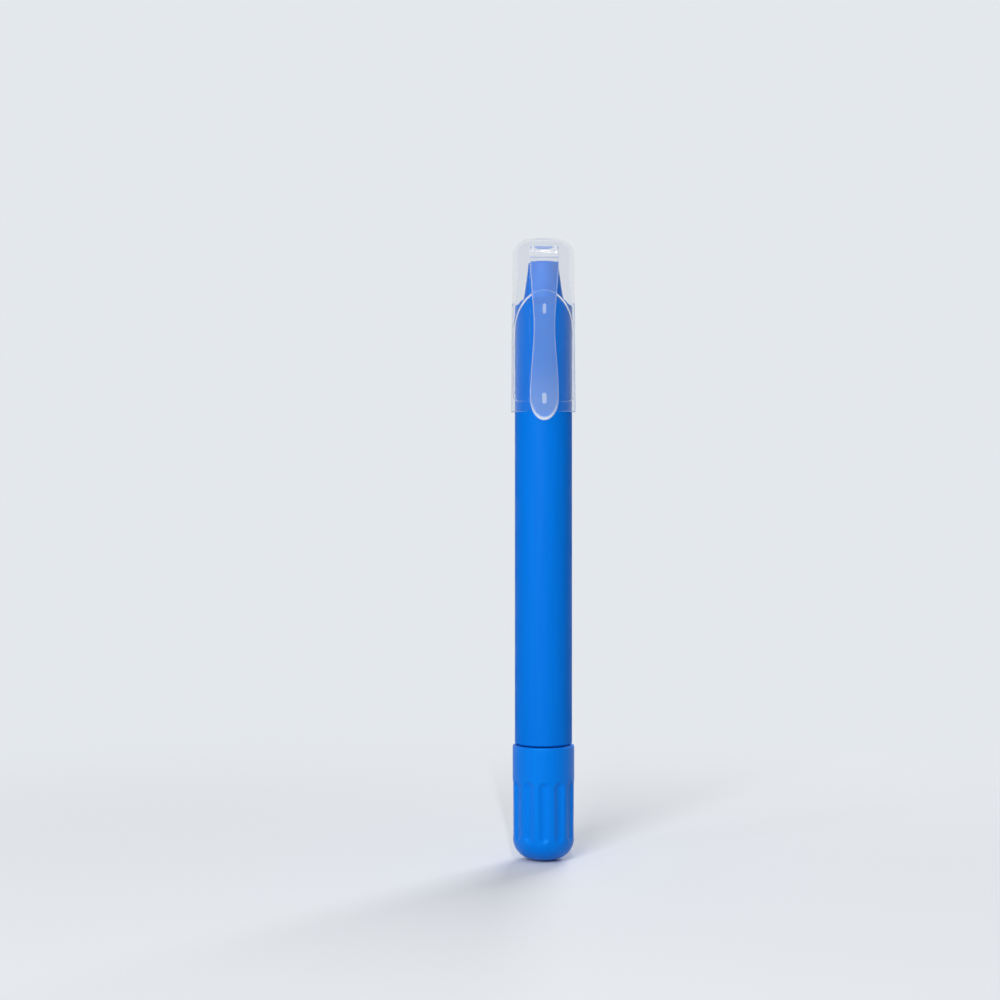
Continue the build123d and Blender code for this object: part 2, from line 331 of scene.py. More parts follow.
@dataclass(frozen=True)
class Pattern:
    """A noise on a piece's own coordinates, as large as the pattern that it draws.

    A stretch below one draws it out along the crayon's axis.
    """

    size_mm: float
    detail: float
    roughness: float = 0.5
    stretch: float = 1.0

    def value(self, tree: bpy.types.NodeTree) -> bpy.types.NodeSocket:
        """Adds the pattern to a material.

        Args:
            tree: the material's node tree.

        Returns:
            The pattern's value at each place, from zero to one.
        """
        place = add_node(tree, "ShaderNodeTexCoord").outputs["Object"]
        along = add_node(tree, "ShaderNodeMapping", {"Vector": place, "Scale": (1.0, 1.0, self.stretch)})
        noise = add_node(
            tree,
            "ShaderNodeTexNoise",
            {
                "Vector": along,
                "Scale": 1 / (self.size_mm * MM),
                "Detail": self.detail,
                "Roughness": self.roughness,
            },
        )
        return noise.outputs["Fac"]


@dataclass(frozen=True)
class SolidFinish:
    """A finish that hides what is inside: two tones, an uneven sheen and a fine relief.

    Each of the three follows a pattern. A span gives the two values of the pattern between which a
    change runs: the second colour goes from none to its share, and the roughness from its first
    factor to its second.
    """

    name: str
    colour: str
    second_colour: str
    roughness: float
    ior: float
    tone: Pattern
    sheen: Pattern
    relief: Pattern
    relief_strength: float
    relief_depth_mm: float = 0.02
    tone_span: tuple[float, float] = (0.0, 1.0)
    tone_share: float = 1.0
    sheen_span: tuple[float, float] = (0.0, 1.0)
    sheen_factors: tuple[float, float] = (0.8, 1.2)
    gloss: float = 0.5
    gloss_colour: str = "#ffffff"
    glow: float = 0.0
    glow_mm: float = 0.6
    glow_reach: tuple[float, float, float] = (0.2, 0.5, 1.0)

    def material(self) -> bpy.types.Material:
        """Builds the node material."""
        made = new_material(self.name)
        tree = made.node_tree
        share = add_node(
            tree,
            "ShaderNodeMapRange",
            {
                "Value": self.tone.value(tree),
                "From Min": self.tone_span[0],
                "From Max": self.tone_span[1],
                "To Max": self.tone_share,
            },
        )
        tint = add_node(
            tree,
            "ShaderNodeMix",
            {"Factor": share, FIRST_COLOUR: linear(self.colour), SECOND_COLOUR: linear(self.second_colour)},
            data_type="RGBA",
        )
        rough = add_node(
            tree,
            "ShaderNodeMapRange",
            {
                "Value": self.sheen.value(tree),
                "From Min": self.sheen_span[0],
                "From Max": self.sheen_span[1],
                "To Min": self.roughness * self.sheen_factors[0],
                "To Max": self.roughness * self.sheen_factors[1],
            },
        )
        skin = add_node(
            tree,
            "ShaderNodeBump",
            {
                "Height": self.relief.value(tree),
                "Strength": self.relief_strength,
                "Distance": self.relief_depth_mm * MM,
            },
        )
        shader = add_node(
            tree,
            "ShaderNodeBsdfPrincipled",
            {
                "Base Color": tint.outputs[MIXED_COLOUR],
                "Roughness": rough,
                "IOR": self.ior,
                "Specular IOR Level": self.gloss,
                "Specular Tint": linear(self.gloss_colour),
                "Subsurface Weight": self.glow,
                "Subsurface Radius": self.glow_reach,
                "Subsurface Scale": self.glow_mm * MM,
                "Normal": skin,
            },
        )
        add_node(tree, "ShaderNodeOutputMaterial", {"Surface": shader})
        return made


@dataclass(frozen=True)
class ClearPolypropylene:
    """Clarified polypropylene: see-through in the thin shell, milkier in the thick clip.

    The eye gets full colour behind the shell and a pale veil over the clip that thickens towards its
    tongue. Painted highlights are added as white in the surface: on the edges where the clip turns
    away, in a crescent at its tip, faintly at its root, along the rim of the relief and on the small
    grips behind the clip. The clip's veil is tinted bluish as painted light from the blue barrel and
    wax behind it, and this tint fades out at the root, above the wax. Light on its way to what is
    inside goes straight through, a little dimmed, and so does light that has been mirrored to and fro
    in the wall.
    """

    name: str
    colour: str = "#f5f6f9"
    # bluish tint of the clip's veil: painted blue light from the barrel and wax behind it
    clip_painted_blue_light: str = "#e6f4f9"
    roughness: float = 0.03
    ior: float = 1.49
    shine: float = 0.12
    shell_mm: float = 6.66
    clip_near_mm: float = 7.36
    clip_far_mm: float = 7.5
    clip_back_mm: float = 8.1
    tongue_from_mm: float = 113.0
    tongue_to_mm: float = 102.0
    tip_height_mm: float = 103.6
    tip_half_mm: float = 3.16
    tip_drop_mm: float = 4.9
    tip_from: float = 0.8
    tip_full: float = 0.96
    root_from_mm: float = 124.0
    root_to_mm: float = 136.0
    arch_side_mm: float = 118.2
    arch_rise_mm: float = 9.4
    arch_from_mm: float = 2.2
    panel_half_mm: float = 6.65
    panel_foot_mm: float = 103.1
    panel_corner_mm: float = 1.6
    corner_from_mm: float = 4.8
    rim_half_mm: float = 0.26
    rim_change_mm: float = 1.0
    rim_fade_mm: float = 0.8
    rim_side: float = 0.25
    rim_middle: float = 0.1
    edge_blend: float = 0.5
    edge_from: float = 0.12
    edge_full: float = 0.8
    veil_shell: float = 0.002
    veil_clip: float = 0.06
    veil_tongue: float = 0.105
    # white shares painted as highlights: on the clip's edges, grips, root and tip, and on the relief's rim
    edge_highlight: float = 0.55
    grip_highlight: float = 0.35
    root_highlight: float = 0.06
    tip_highlight: float = 0.6
    rim_highlight: float = 0.75
    shell_light: float = 0.97
    clip_light: float = 0.97
    bounces: float = 0.5
    mirrorings: float = 1.5

    def rim(self, tree: bpy.types.NodeTree, axes: bpy.types.NodeOutputs) -> bpy.types.NodeSocket:
        """Marks the rim of the arched relief, seen square from the front, where a highlight is painted.

        Args:
            tree: the material's node tree.
            axes: the place on the piece, as X, Y and Z.

        Returns:
            One on the rim and zero away from it.
        """
        half = self.panel_half_mm * MM
        corner = self.panel_corner_mm * MM
        foot = self.panel_foot_mm * MM + corner
        side = add_node(tree, "ShaderNodeMath", {0: axes["X"]}, operation="ABSOLUTE").outputs[0]
        rise = add_node(
            tree,
            "ShaderNodeMapRange",
            {
                "Value": axes["Z"],
                "From Min": self.arch_side_mm * MM,
                "From Max": (self.arch_side_mm + 2 * self.arch_rise_mm) * MM,
                "To Max": 2 * half,
            },
        )
        offsets = []
        for outer, inner in ((side, half - corner), (foot, axes["Z"])):
            past = add_node(tree, "ShaderNodeMath", {0: outer, 1: inner}, operation="SUBTRACT")
            offsets.append(add_node(tree, "ShaderNodeMath", {0: past, 1: 0.0}, operation="MAXIMUM"))
        over = reach(tree, side, rise.outputs[0])
        arch = add_node(tree, "ShaderNodeMath", {0: over, 1: half}, operation="SUBTRACT")
        out = reach(tree, offsets[0].outputs[0], offsets[1].outputs[0])
        panel = add_node(tree, "ShaderNodeMath", {0: out, 1: corner}, operation="SUBTRACT")
        gap = add_node(tree, "ShaderNodeMath", {0: arch, 1: panel}, operation="MAXIMUM")
        gap = add_node(tree, "ShaderNodeMath", {0: gap}, operation="ABSOLUTE")
        drawn = add_node(
            tree,
            "ShaderNodeMapRange",
            {"Value": gap, "From Max": self.rim_half_mm * MM, "To Min": 1.0, "To Max": 0.0},
            interpolation_type="SMOOTHSTEP",
        )
        level = add_node(
            tree,
            "ShaderNodeMapRange",
            {
                "Value": axes["Z"],
                "From Min": (self.arch_side_mm - self.arch_rise_mm / 2) * MM,
                "From Max": self.arch_side_mm * MM,
                "To Min": self.rim_side,
            },
        )
        middle = add_node(
            tree,
            "ShaderNodeMapRange",
            {
                "Value": axes["Z"],
                "From Min": (self.arch_side_mm - self.rim_change_mm) * MM,
                "From Max": self.arch_side_mm * MM,
                "To Min": self.corner_from_mm * MM,
                "To Max": self.arch_from_mm * MM,
            },
        )
        wide = add_node(tree, "ShaderNodeMath", {0: side, 1: middle}, operation="SUBTRACT")
        apart = add_node(
            tree,
            "ShaderNodeMapRange",
            {"Value": wide, "From Max": self.rim_fade_mm * MM, "To Min": self.rim_middle},
        )
        radius = reach(tree, axes["X"], axes["Y"])
        shell = self.shell_mm * MM
        outside = add_node(tree, "ShaderNodeMath", {0: radius, 1: shell}, operation="GREATER_THAN")
        front = add_node(tree, "ShaderNodeMath", {0: axes["Y"], 1: 0.0}, operation="LESS_THAN")
        for share in (level, apart, outside, front):
            drawn = add_node(tree, "ShaderNodeMath", {0: drawn, 1: share}, operation="MULTIPLY")
        return drawn.outputs[0]

    def tip_rim(self, tree: bpy.types.NodeTree, axes: bpy.types.NodeOutputs) -> bpy.types.NodeSocket:
        """Marks the crescent at the rounded tip of the clip, where a highlight is painted.

        Args:
            tree: the material's node tree.
            axes: the place on the piece, as X, Y and Z.

        Returns:
            One at the very tip, fading inwards and up the sides.
        """
        half = self.tip_half_mm * MM
        side = add_node(tree, "ShaderNodeMath", {0: axes["X"], 1: half}, operation="DIVIDE")
        drop = add_node(
            tree,
            "ShaderNodeMapRange",
            {
                "Value": axes["Z"],
                "From Min": self.tip_height_mm * MM,
                "From Max": (self.tip_height_mm - self.tip_drop_mm) * MM,
            },
        )
        band = add_node(
            tree,
            "ShaderNodeMapRange",
            {
                "Value": reach(tree, side.outputs[0], drop.outputs[0]),
                "From Min": self.tip_from,
                "From Max": self.tip_full,
            },
            interpolation_type="SMOOTHSTEP",
        )
        return add_node(tree, "ShaderNodeMath", {0: band, 1: drop}, operation="MULTIPLY").outputs[0]

    def clip_veil_and_highlights(
        self, tree: bpy.types.NodeTree, axes: bpy.types.NodeOutputs
    ) -> tuple[bpy.types.NodeSocket, bpy.types.NodeSocket]:
        """Gives the milkiness of the clip, more at its tongue, with painted highlights at its edges, tip,
        root and the grips behind it.

        Args:
            tree: the material's node tree.
            axes: the place on the piece, as X, Y and Z.

        Returns:
            The share of light that the clip scatters, painted highlights included, and how much of that its
            body gives, which sets the clip's painted blue light.
        """
        towards_tongue = add_node(
            tree,
            "ShaderNodeMapRange",
            {
                "Value": axes["Z"],
                "From Min": self.tongue_from_mm * MM,
                "From Max": self.tongue_to_mm * MM,
                "To Min": self.veil_clip,
                "To Max": self.veil_tongue,
            },
            interpolation_type="SMOOTHSTEP",
        )
        # painted highlight: white on the clip's edges where they turn away from the camera
        facing = add_node(tree, "ShaderNodeLayerWeight", {"Blend": self.edge_blend}).outputs["Facing"]
        white = add_node(
            tree,
            "ShaderNodeMapRange",
            {
                "Value": facing,
                "From Min": self.edge_from,
                "From Max": self.edge_full,
                "To Max": self.edge_highlight,
            },
        )
        arch_top = (self.arch_side_mm + self.arch_rise_mm) * MM
        below_root = add_node(tree, "ShaderNodeMath", {0: axes["Z"], 1: arch_top}, operation="LESS_THAN")
        back = -self.clip_back_mm * MM
        behind = add_node(tree, "ShaderNodeMath", {0: axes["Y"], 1: back}, operation="GREATER_THAN")
        grip = add_node(tree, "ShaderNodeMath", {0: behind, 1: below_root}, operation="MULTIPLY")
        root = add_node(
            tree,
            "ShaderNodeMapRange",
            {"Value": axes["Z"], "From Min": self.root_from_mm * MM, "From Max": self.root_to_mm * MM},
            interpolation_type="SMOOTHSTEP",
        )
        body = add_node(
            tree, "ShaderNodeMapRange", {"Value": root, "To Min": towards_tongue, "To Max": 0.0}
        )
        tip = self.tip_rim(tree, axes)
        # painted highlights: white added at the root, the tip crescent and the grips
        for mark, share in ((root, self.root_highlight), (tip, self.tip_highlight), (grip, self.grip_highlight)):
            white = add_node(tree, "ShaderNodeMath", {0: mark, 1: share, 2: white}, operation="MULTIPLY_ADD")
        whole = add_node(tree, "ShaderNodeMath", {0: body, 1: white}, operation="ADD")
        share = add_node(tree, "ShaderNodeMath", {0: body, 1: whole}, operation="DIVIDE")
        return whole.outputs[0], share.outputs[0]

    def material(self) -> bpy.types.Material:
        """Builds the node material."""
        made = new_material(self.name)
        tree = made.node_tree
        place = add_node(tree, "ShaderNodeTexCoord").outputs["Object"]
        axes = add_node(tree, "ShaderNodeSeparateXYZ", {"Vector": place}).outputs
        on_clip = add_node(
            tree,
            "ShaderNodeMapRange",
            {"Value": axes["Y"], "From Min": -self.clip_near_mm * MM, "From Max": -self.clip_far_mm * MM},
        )
        # painted highlight: a white line along the rim of the relief, added to the shell's veil
        shell_veil_and_rim_highlight = add_node(
            tree,
            "ShaderNodeMath",
            {0: self.rim(tree, axes), 1: self.rim_highlight, 2: self.veil_shell},
            operation="MULTIPLY_ADD",
        )
        clip_veil_and_highlights, body = self.clip_veil_and_highlights(tree, axes)
        veil = add_node(
            tree, "ShaderNodeMapRange", {"Value": on_clip, "To Min": shell_veil_and_rim_highlight, "To Max": clip_veil_and_highlights}
        )
        # painted light: the clip's veil is tinted bluish, for blue light from the barrel and wax behind it
        painted_blue_light = add_node(tree, "ShaderNodeMath", {0: on_clip, 1: body}, operation="MULTIPLY")
        tint = add_node(
            tree,
            "ShaderNodeMix",
            {"Factor": painted_blue_light, FIRST_COLOUR: linear(self.colour), SECOND_COLOUR: linear(self.clip_painted_blue_light)},
            data_type="RGBA",
        )
        clear = add_node(tree, "ShaderNodeMath", {0: 1.0, 1: veil}, operation="SUBTRACT", use_clamp=True)
        shader = add_node(
            tree,
            "ShaderNodeBsdfPrincipled",
            {
                "Base Color": tint.outputs[MIXED_COLOUR],
                "Roughness": self.roughness,
                "IOR": self.ior,
                "Specular Tint": (self.shine, self.shine, self.shine, 1.0),
                "Transmission Weight": clear,
            },
        )
        paths = add_node(tree, "ShaderNodeLightPath").outputs
        lighting = paths["Is Shadow Ray"]
        for depth, limit in (("Diffuse Depth", self.bounces), ("Glossy Depth", self.mirrorings)):
            beyond = add_node(tree, "ShaderNodeMath", {0: paths[depth], 1: limit}, operation="GREATER_THAN")
            lighting = add_node(tree, "ShaderNodeMath", {0: lighting, 1: beyond}, operation="MAXIMUM")
        passed = add_node(
            tree,
            "ShaderNodeMapRange",
            {"Value": on_clip, "To Min": self.shell_light, "To Max": self.clip_light},
        )
        through = add_node(tree, "ShaderNodeBsdfTransparent", {"Color": passed})
        both = add_node(tree, "ShaderNodeMixShader", {0: lighting, 1: shader, 2: through})
        add_node(tree, "ShaderNodeOutputMaterial", {"Surface": both})
        return made


# Pigmented polypropylene, moulded in a polished tool. The eye gets a full and nearly even colour, a
# satin skin with a fine ripple, faint streaks along the flow of the melt, and a little scuffing from
# handling. The ripple and the streaks are drawn coarser than the real ones, which would not show.
BARREL_BLUE = SolidFinish(
    name="polypropylene_moulded_blue",
    colour="#0077e2",
    second_colour="#006fd8",
    roughness=0.42,
    ior=1.49,
    tone=Pattern(0.9, detail=2.0, stretch=0.04),
    sheen=Pattern(5.6, detail=5.0, roughness=0.65),
    sheen_span=(0.35, 0.7),
    sheen_factors=(0.85, 1.3),
    relief=Pattern(1.4, detail=1.0),
    relief_strength=0.05,
    gloss=0.05,
)
# The same plastic on the knob. Its paler colour is painted light, drawing the knob more brightly
# lit than the barrel; the eye also gets a stronger, bluish gloss.
KNOB_BLUE_PAINTED_LIGHTER = replace(
    BARREL_BLUE,
    name="polypropylene_moulded_blue_grip_painted_lighter",
    colour="#007bea",
    second_colour="#0072de",
    roughness=0.4,
    gloss=0.5,
    gloss_colour="#59cbff",
)
CLEAR = ClearPolypropylene("polypropylene_clarified")
# Gel wax, cast in a mould: strong pigment in a soft, slightly translucent body. The eye gets a deep
# colour that glows a little at thin edges, a satin shine, and a cast skin with shallow dimples.
WAX_CLOUDS = Pattern(3.0, detail=4.0, roughness=0.6)
WAX = SolidFinish(
    name="gel_wax_cast_blue",
    colour="#0074e2",
    second_colour="#0a84ec",
    roughness=0.4,
    ior=1.44,
    tone=WAX_CLOUDS,
    tone_span=(0.35, 0.75),
    tone_share=0.5,
    sheen=WAX_CLOUDS,
    sheen_span=(0.3, 0.7),
    sheen_factors=(0.8, 1.25),
    relief=Pattern(0.5, detail=2.0),
    relief_strength=0.25,
    relief_depth_mm=0.03,
    gloss=0.12,
    glow=0.1,
)
# Plain moulded acetal, left in its own colour and never on show. The eye gets an even ivory body with
# a fine spark-eroded grain and a dull shine.
ACETAL_GRAIN = Pattern(0.3, detail=3.0)
ACETAL = SolidFinish(
    name="acetal_moulded_natural",
    colour="#e9e6dd",
    second_colour="#dedbd1",
    roughness=0.4,
    ior=1.48,
    tone=ACETAL_GRAIN,
    sheen=ACETAL_GRAIN,
    relief=ACETAL_GRAIN,
    relief_strength=0.3,
)
# Moulded nitrile rubber, never on show. The eye gets an even black body with a finer grain.
RUBBER_GRAIN = Pattern(0.2, detail=3.0)
RUBBER = replace(
    ACETAL,
    name="nitrile_rubber_moulded",
    colour="#1b1b1c",
    second_colour="#242425",
    roughness=0.65,
    ior=1.52,
    tone=RUBBER_GRAIN,
    sheen=RUBBER_GRAIN,
    relief=RUBBER_GRAIN,
)


@dataclass
class TwistKnob:
    """The fluted tail that is held and turned: a hollow moulding with a boss and webs inside.

    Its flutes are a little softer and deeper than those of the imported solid, so that they catch the
    light as the real ones do.
    """

    length: float = 26.0
    radius: float = 6.95
    foot_radius: float = 6.87
    collar_foot: float = 18.8
    edge: float = 0.4
    crown_radius: float = 12.0
    corner_radius: float = 4.5
    bore_radius: float = 5.52
    bore_edge: float = 0.15
    wall: float = 1.35
    floor_corner: float = 1.2
    floor_rise: float = 1.0
    boss_radius: float = 3.9
    boss_top: float = 25.9
    socket_radius: float = 2.24
    socket_foot: float = 9.6
    flute_count: int = 12
    flute_radius: float = 2.3
    flute_depth: float = 0.5
    flute_foot: float = 6.09
    flute_head: float = 16.91
    flute_soft: float = 0.12
    sector_steps: int = 24
    crown_steps: int = 14
    corner_steps: int = 24
    side_steps: int = 84
    collar_steps: int = 6
    edge_steps: int = 8
    web_count: int = 4
    web_thickness: float = 1.0
    web_length: float = 12.0
    web_foot: float = 4.9

    def profile(self) -> list[Point]:
        """Gives the outline of the wall, from the middle of the end round to the socket's floor."""
        inset = self.foot_radius - self.corner_radius
        span = self.crown_radius - self.corner_radius
        lean = math.degrees(math.asin(inset / span))
        dome = self.crown_radius - math.sqrt(span**2 - inset**2)
        rim = self.length - self.edge
        turn = lean - QUARTER_TURN
        crown = arc((0, self.crown_radius), self.crown_radius, -QUARTER_TURN, turn, self.crown_steps)
        outside = [(0.0, 0.0)] + crown[1:]
        outside += arc((inset, dome), self.corner_radius, turn, 0, self.corner_steps)[1:]
        outside += stretch(outside[-1], (self.radius, self.collar_foot), self.side_steps)
        outside += stretch(outside[-1], (self.radius, rim), self.collar_steps)
        outside += arc((self.radius - self.edge, rim), self.edge, 0, QUARTER_TURN, self.edge_steps)[1:]
        inside = [(self.bore_radius + self.bore_edge, self.length)]
        inside += [(self.bore_radius, self.length - self.bore_edge), (self.bore_radius, dome + self.wall)]
        inside += [(self.bore_radius - self.floor_corner, dome - self.floor_corner)]
        inside += [(self.boss_radius, self.wall + self.floor_rise), (self.boss_radius, self.boss_top)]
        inside += [(self.socket_radius, self.boss_top), (self.socket_radius, self.socket_foot)]
        return outside + inside + [(0.0, self.socket_foot)]

    def sizes(self) -> dict[str, float]:
        """Gives the inputs of the geometry tree."""
        return {
            "Flute Radius": self.flute_radius * MM,
            "Flute Axis": (self.radius - self.flute_depth + self.flute_radius) * MM,
            "Flute Foot": self.flute_foot * MM,
            "Flute Head": self.flute_head * MM,
            "Softness": self.flute_soft * MM,
            "Flutes": float(self.flute_count),
            "Web Reach": (self.bore_radius - self.boss_radius + self.wall / 2) * MM,
            "Web Thickness": self.web_thickness * MM,
            "Web Length": self.web_length * MM,
            "Web Radius": (self.bore_radius + self.boss_radius) / 2 * MM,
            "Web Height": (self.web_foot + self.web_length / 2) * MM,
            "Webs": float(self.web_count),
        }

    def tree(self) -> bpy.types.NodeTree:
        """Builds the geometry tree: a flute pressed into a sector, sectors set round, webs added."""
        tree, entry = new_shape_tree("fluted_knob", self.sizes())
        given = entry.outputs
        place = add_node(tree, "GeometryNodeInputPosition").outputs[0]
        axes = add_node(tree, "ShaderNodeSeparateXYZ", {0: place}).outputs
        below = add_node(tree, "ShaderNodeMath", {0: given["Flute Foot"], 1: axes["Z"]}, operation="SUBTRACT")
        above = add_node(tree, "ShaderNodeMath", {0: axes["Z"], 1: given["Flute Head"]}, operation="SUBTRACT")
        beyond = add_node(tree, "ShaderNodeMath", {0: below, 1: above}, operation="MAXIMUM")
        past = add_node(tree, "ShaderNodeMath", {0: beyond, 1: 0.0}, operation="MAXIMUM")
        off = add_node(tree, "ShaderNodeCombineXYZ", {"X": axes["X"], "Y": past})
        square = add_node(tree, "ShaderNodeVectorMath", {0: off, 1: off}, operation="DOT_PRODUCT")
        radius = given["Flute Radius"]
        full = add_node(tree, "ShaderNodeMath", {0: radius, 1: radius}, operation="MULTIPLY")
        room = add_node(tree, "ShaderNodeMath", {0: full, 1: square.outputs["Value"]}, operation="SUBTRACT")
        kept = add_node(tree, "ShaderNodeMath", {0: room, 1: 0.0}, operation="MAXIMUM")
        rise = add_node(tree, "ShaderNodeMath", {0: kept}, operation="SQRT")
        hollow = add_node(tree, "ShaderNodeMath", {0: rise, 1: given["Flute Axis"]}, operation="SUBTRACT")
        pressed = add_node(
            tree, "ShaderNodeMath", {0: axes["Y"], 1: hollow, 2: given["Softness"]}, operation="SMOOTH_MAX"
        )
        moved = add_node(tree, "ShaderNodeCombineXYZ", {"X": axes["X"], "Y": pressed, "Z": axes["Z"]})
        sector = add_node(
            tree, "GeometryNodeSetPosition", {"Geometry": given["Geometry"], "Position": moved}
        )
        block = add_node(
            tree,
            "ShaderNodeCombineXYZ",
            {"X": given["Web Reach"], "Y": given["Web Thickness"], "Z": given["Web Length"]},
        )
        plate = add_node(tree, "GeometryNodeMeshCube", {"Size": block})
        spot = add_node(tree, "ShaderNodeCombineXYZ", {"X": given["Web Radius"], "Z": given["Web Height"]})
        web = add_node(tree, "GeometryNodeTransform", {"Geometry": plate, "Translation": spot})
        whole = add_node(tree, "GeometryNodeJoinGeometry")
        for shape, count in ((sector.outputs[0], given["Flutes"]), (web.outputs[0], given["Webs"])):
            tree.links.new(set_round(tree, shape, count), whole.inputs[0])
        close_shape_tree(tree, entry, whole.outputs[0])
        return tree

    def build(self) -> bpy.types.Object:
        """Makes the knob and puts it in place of its node."""
        sweep = FULL_TURN / self.flute_count
        points, faces = turned(self.profile(), -QUARTER_TURN - sweep / 2, sweep, self.sector_steps)
        seed = bpy.data.meshes.new("knob_sector")
        seed.from_pydata(points, [], faces)
        knob = grow("fluted_knob", seed, self.tree(), self.sizes(), KNOB_BLUE_PAINTED_LIGHTER.material())
        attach(knob, Body.KNOB.value)
        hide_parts("twist_knob")
        return knob


@dataclass
class DriveScrew:
    """The spindle that turns with the knob and lifts the carrier, here with its thread cut."""

    root_foot: float = 9.9
    root_edge: float = 0.2
    hex_sides: int = 6
    hex_width: float = 3.8
    journal_foot: float = 25.92
    journal_radius: float = 3.2
    groove_radius: float = 2.25
    groove_foot: float = 29.55
    groove_head: float = 30.85
    flange_radius: float = 4.2
    flange_foot: float = 34.3
    flange_head: float = 35.8
    core_radius: float = 1.95
    crest_radius: float = 2.5
    top: float = 76.8
    tip_chamfer: float = 0.5
    lead: float = 3.8
    thread_base: float = 1.9
    thread_crest: float = 0.9
    thread_foot: float = 37.0
    thread_head: float = 75.6
    thread_sink: float = 0.1
    section_turn: float = 90.0
    hand: Hand = Hand.LEFT
    round_steps: int = 48
    turn_steps: int = 40

    def core(self) -> bpy.types.Mesh:
        """Makes the hexagonal root and the turned spindle without its thread."""
        corner = self.hex_width / (2 * math.cos(math.pi / self.hex_sides))
        root = [(0.0, self.root_foot), (corner - self.root_edge, self.root_foot)]
        root += [(corner, self.root_foot + self.root_edge)]
        root += [(corner, self.journal_foot), (0.0, self.journal_foot)]
        steps = (
            (self.journal_radius, self.journal_foot, self.groove_foot),
            (self.groove_radius, self.groove_foot, self.groove_head),
            (self.journal_radius, self.groove_head, self.flange_foot),
            (self.flange_radius, self.flange_foot, self.flange_head),
            (self.core_radius, self.flange_head, self.top - self.tip_chamfer),
        )
        spindle = [(0.0, self.journal_foot)]
        for radius, foot, head in steps:
            spindle += [(radius, foot), (radius, head)]
        spindle += [(self.core_radius - self.tip_chamfer, self.top), (0.0, self.top)]
        points, faces = turned(root, 0, FULL_TURN, self.hex_sides)
        more, others = turned(spindle, 0, FULL_TURN, self.round_steps)
        faces += [[len(points) + number for number in face] for face in others]
        mesh = bpy.data.meshes.new("screw_core")
        mesh.from_pydata(points + more, [], faces)
        return mesh

    def sizes(self) -> dict[str, float]:
        """Gives the inputs of the geometry tree."""
        height = self.thread_head - self.thread_foot
        depth = self.crest_radius - self.core_radius + self.thread_sink
        return {
            "Turns": height / self.lead,
            "Middle Radius": (self.crest_radius - depth / 2) * MM,
            "Foot": self.thread_foot * MM,
            "Height": height * MM,
            "Base": self.thread_base * MM,
            "Crest": self.thread_crest * MM,
            "Depth": depth * MM,
        }

    def tree(self) -> bpy.types.NodeTree:
        """Builds the geometry tree: a helix swept with the thread's section and joined to the core."""
        tree, entry = new_shape_tree("screw_thread", self.sizes())
        given = entry.outputs
        helix = add_node(
            tree,
            "GeometryNodeCurveSpiral",
            {
                "Resolution": self.turn_steps,
                "Rotations": given["Turns"],
                "Start Radius": given["Middle Radius"],
                "End Radius": given["Middle Radius"],
                "Height": given["Height"],
                "Reverse": self.hand is Hand.RIGHT,
            },
        )
        level = add_node(tree, "ShaderNodeCombineXYZ", {"Z": given["Foot"]})
        raised = add_node(tree, "GeometryNodeTransform", {"Geometry": helix, "Translation": level})
        upright = add_node(tree, "GeometryNodeSetCurveNormal", {"Curve": raised}, mode="Z_UP")
        section = add_node(
            tree,
            "GeometryNodeCurvePrimitiveQuadrilateral",
            {
                "Height": given["Depth"],
                "Bottom Width": given["Base"],
                "Top Width": given["Crest"],
                "Offset": 0.0,
            },
            mode="TRAPEZOID",
        )
        outward = add_node(
            tree,
            "GeometryNodeTransform",
            {"Geometry": section, "Rotation": (0.0, 0.0, math.radians(self.section_turn))},
        )
        thread = add_node(
            tree, "GeometryNodeCurveToMesh", {"Curve": upright, "Profile Curve": outward, "Fill Caps": True}
        )
        whole = add_node(tree, "GeometryNodeJoinGeometry")
        tree.links.new(given["Geometry"], whole.inputs[0])
        tree.links.new(thread.outputs[0], whole.inputs[0])
        close_shape_tree(tree, entry, whole.outputs[0])
        return tree

    def build(self) -> bpy.types.Object:
        """Makes the screw and puts it in place of its node."""
        screw = grow("threaded_screw", self.core(), self.tree(), self.sizes(), ACETAL.material())
        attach(screw, Body.KNOB.value)
        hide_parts("drive_screw")
        return screw


@dataclass
class PackedPieces:
    """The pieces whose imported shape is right, each with its finish."""

    finishes: dict[str, SolidFinish | ClearPolypropylene] = field(
        default_factory=lambda: {
            "barrel": BARREL_BLUE,
            "crayon_stick": WAX,
            "cap": CLEAR,
            "stick_carrier": ACETAL,
            "tail_bush": ACETAL,
            "drag_ring": RUBBER,
        }
    )

    def dress(self) -> None:
        """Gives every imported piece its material."""
        made: dict[str, bpy.types.Material] = {}
        for node, finish in self.finishes.items():
            if finish.name not in made:
                made[finish.name] = finish.material()
            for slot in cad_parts[node].material_slots:
                slot.material = made[finish.name]
            log.info("dressed %s in %s", node, finish.name)


@dataclass(frozen=True)
class Softbox:
    """A lamp with a flat white front that faces the middle of the object.

    One that is not mirrored gives light but does not show in glossy surfaces.
    """

    name: str
    place: tuple[float, float, float]
    width: float
    height: float
    power: float
    aim_height: float = 0.07
    mirrored: bool = True

    def build(self) -> None:
        """Makes the lamp."""
        data = bpy.data.lights.new(self.name, "AREA")
        data.shape = "RECTANGLE"
        data.size = self.width
        data.size_y = self.height
        data.energy = self.power
        lamp = bpy.data.objects.new(self.name, data)
        lamp.location = self.place
        lamp.visible_transmission = False
        lamp.visible_glossy = self.mirrored
        aim = Vector((0, 0, self.aim_height)) - Vector(self.place)
        lamp.rotation_euler = aim.to_track_quat("-Z", "Y").to_euler()
        bpy.context.scene.collection.objects.link(lamp)


